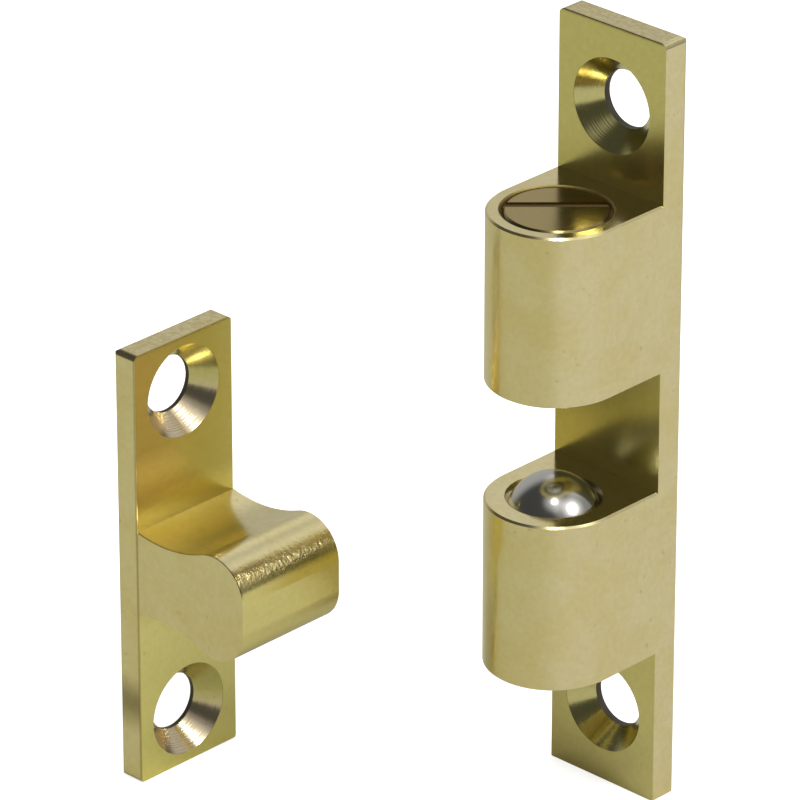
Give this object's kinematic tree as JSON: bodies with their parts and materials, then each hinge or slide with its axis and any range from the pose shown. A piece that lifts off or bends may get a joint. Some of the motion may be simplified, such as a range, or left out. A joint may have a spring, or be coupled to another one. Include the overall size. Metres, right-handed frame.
{
  "type": "door catch",
  "caption": "Solid brass ball catch for a cupboard door: flat plate, round-nosed bosses with sprung steel balls and slotted adjusting screws, and a grooved strike that snaps in between.",
  "frame": {"origin": "middle of the flat back face of the catch plate, halfway between its two screw holes", "axes": "+Z along the plate and up, +Y out of the plate's back into the cupboard wall, so the bosses stand towards -Y; +X across the plate, the way the strike's tongue points"},
  "size_m": [0.0309, 0.0262, 0.06],
  "materials": {
    "catch_brass": "drawn and milled, fine brushed",
    "strike_brass": "drawn and milled, fine brushed",
    "screw_brass": "turned, slightly tarnished",
    "ball_steel": "polished hardened steel",
    "spring_steel": "bright drawn wire"
  },
  "bodies": {
    "catch": {"catch_body": "catch_brass"},
    "upper_ball": {"upper_ball": "ball_steel"},
    "lower_ball": {"lower_ball": "ball_steel"},
    "upper_spring_carrier": {"upper_spring": "spring_steel"},
    "upper_screw": {"upper_adjusting_screw": "screw_brass"},
    "lower_spring_carrier": {"lower_spring": "spring_steel"},
    "lower_screw": {"lower_adjusting_screw": "screw_brass"},
    "strike": {"strike": "strike_brass"}
  },
  "joints": [
    {"name": "upper_ball_press", "type": "slide", "parent": "catch", "child": "upper_ball", "axis": [0, 0, 1], "range_m": [0, 0.0017], "stiffness_N_per_m": 3000, "deforming": ["upper_spring"]},
    {"name": "lower_ball_press", "type": "slide", "parent": "catch", "child": "lower_ball", "axis": [0, 0, -1], "range_m": [0, 0.0017], "stiffness_N_per_m": 3000, "deforming": ["lower_spring"]},
    {"name": "upper_screw_advance", "type": "slide", "parent": "catch", "child": "upper_spring_carrier", "axis": [0, 0, -1], "range_m": [-0.00075, 0.001], "deforming": ["upper_spring"]},
    {"name": "lower_screw_advance", "type": "slide", "parent": "catch", "child": "lower_spring_carrier", "axis": [0, 0, 1], "range_m": [-0.00075, 0.001], "deforming": ["lower_spring"]},
    {"name": "upper_screw_turn", "type": "hinge", "parent": "upper_spring_carrier", "child": "upper_screw", "pos_m": [0, -0.0078, 0.0163], "axis": [0, 0, -1], "range_deg": [-360, 480]},
    {"name": "lower_screw_turn", "type": "hinge", "parent": "lower_spring_carrier", "child": "lower_screw", "pos_m": [0, -0.0078, -0.0163], "axis": [0, 0, 1], "range_deg": [-360, 480]},
    {"name": "strike_slide", "type": "slide", "parent": "catch", "child": "strike", "axis": [-1, 0, 0], "range_m": [0, 0.03]}
  ],
  "couplings": [
    {"joint": "upper_screw_turn", "follows": "upper_screw_advance", "rad_per_m": 8377.6},
    {"joint": "lower_screw_turn", "follows": "lower_screw_advance", "rad_per_m": 8377.6}
  ]
}
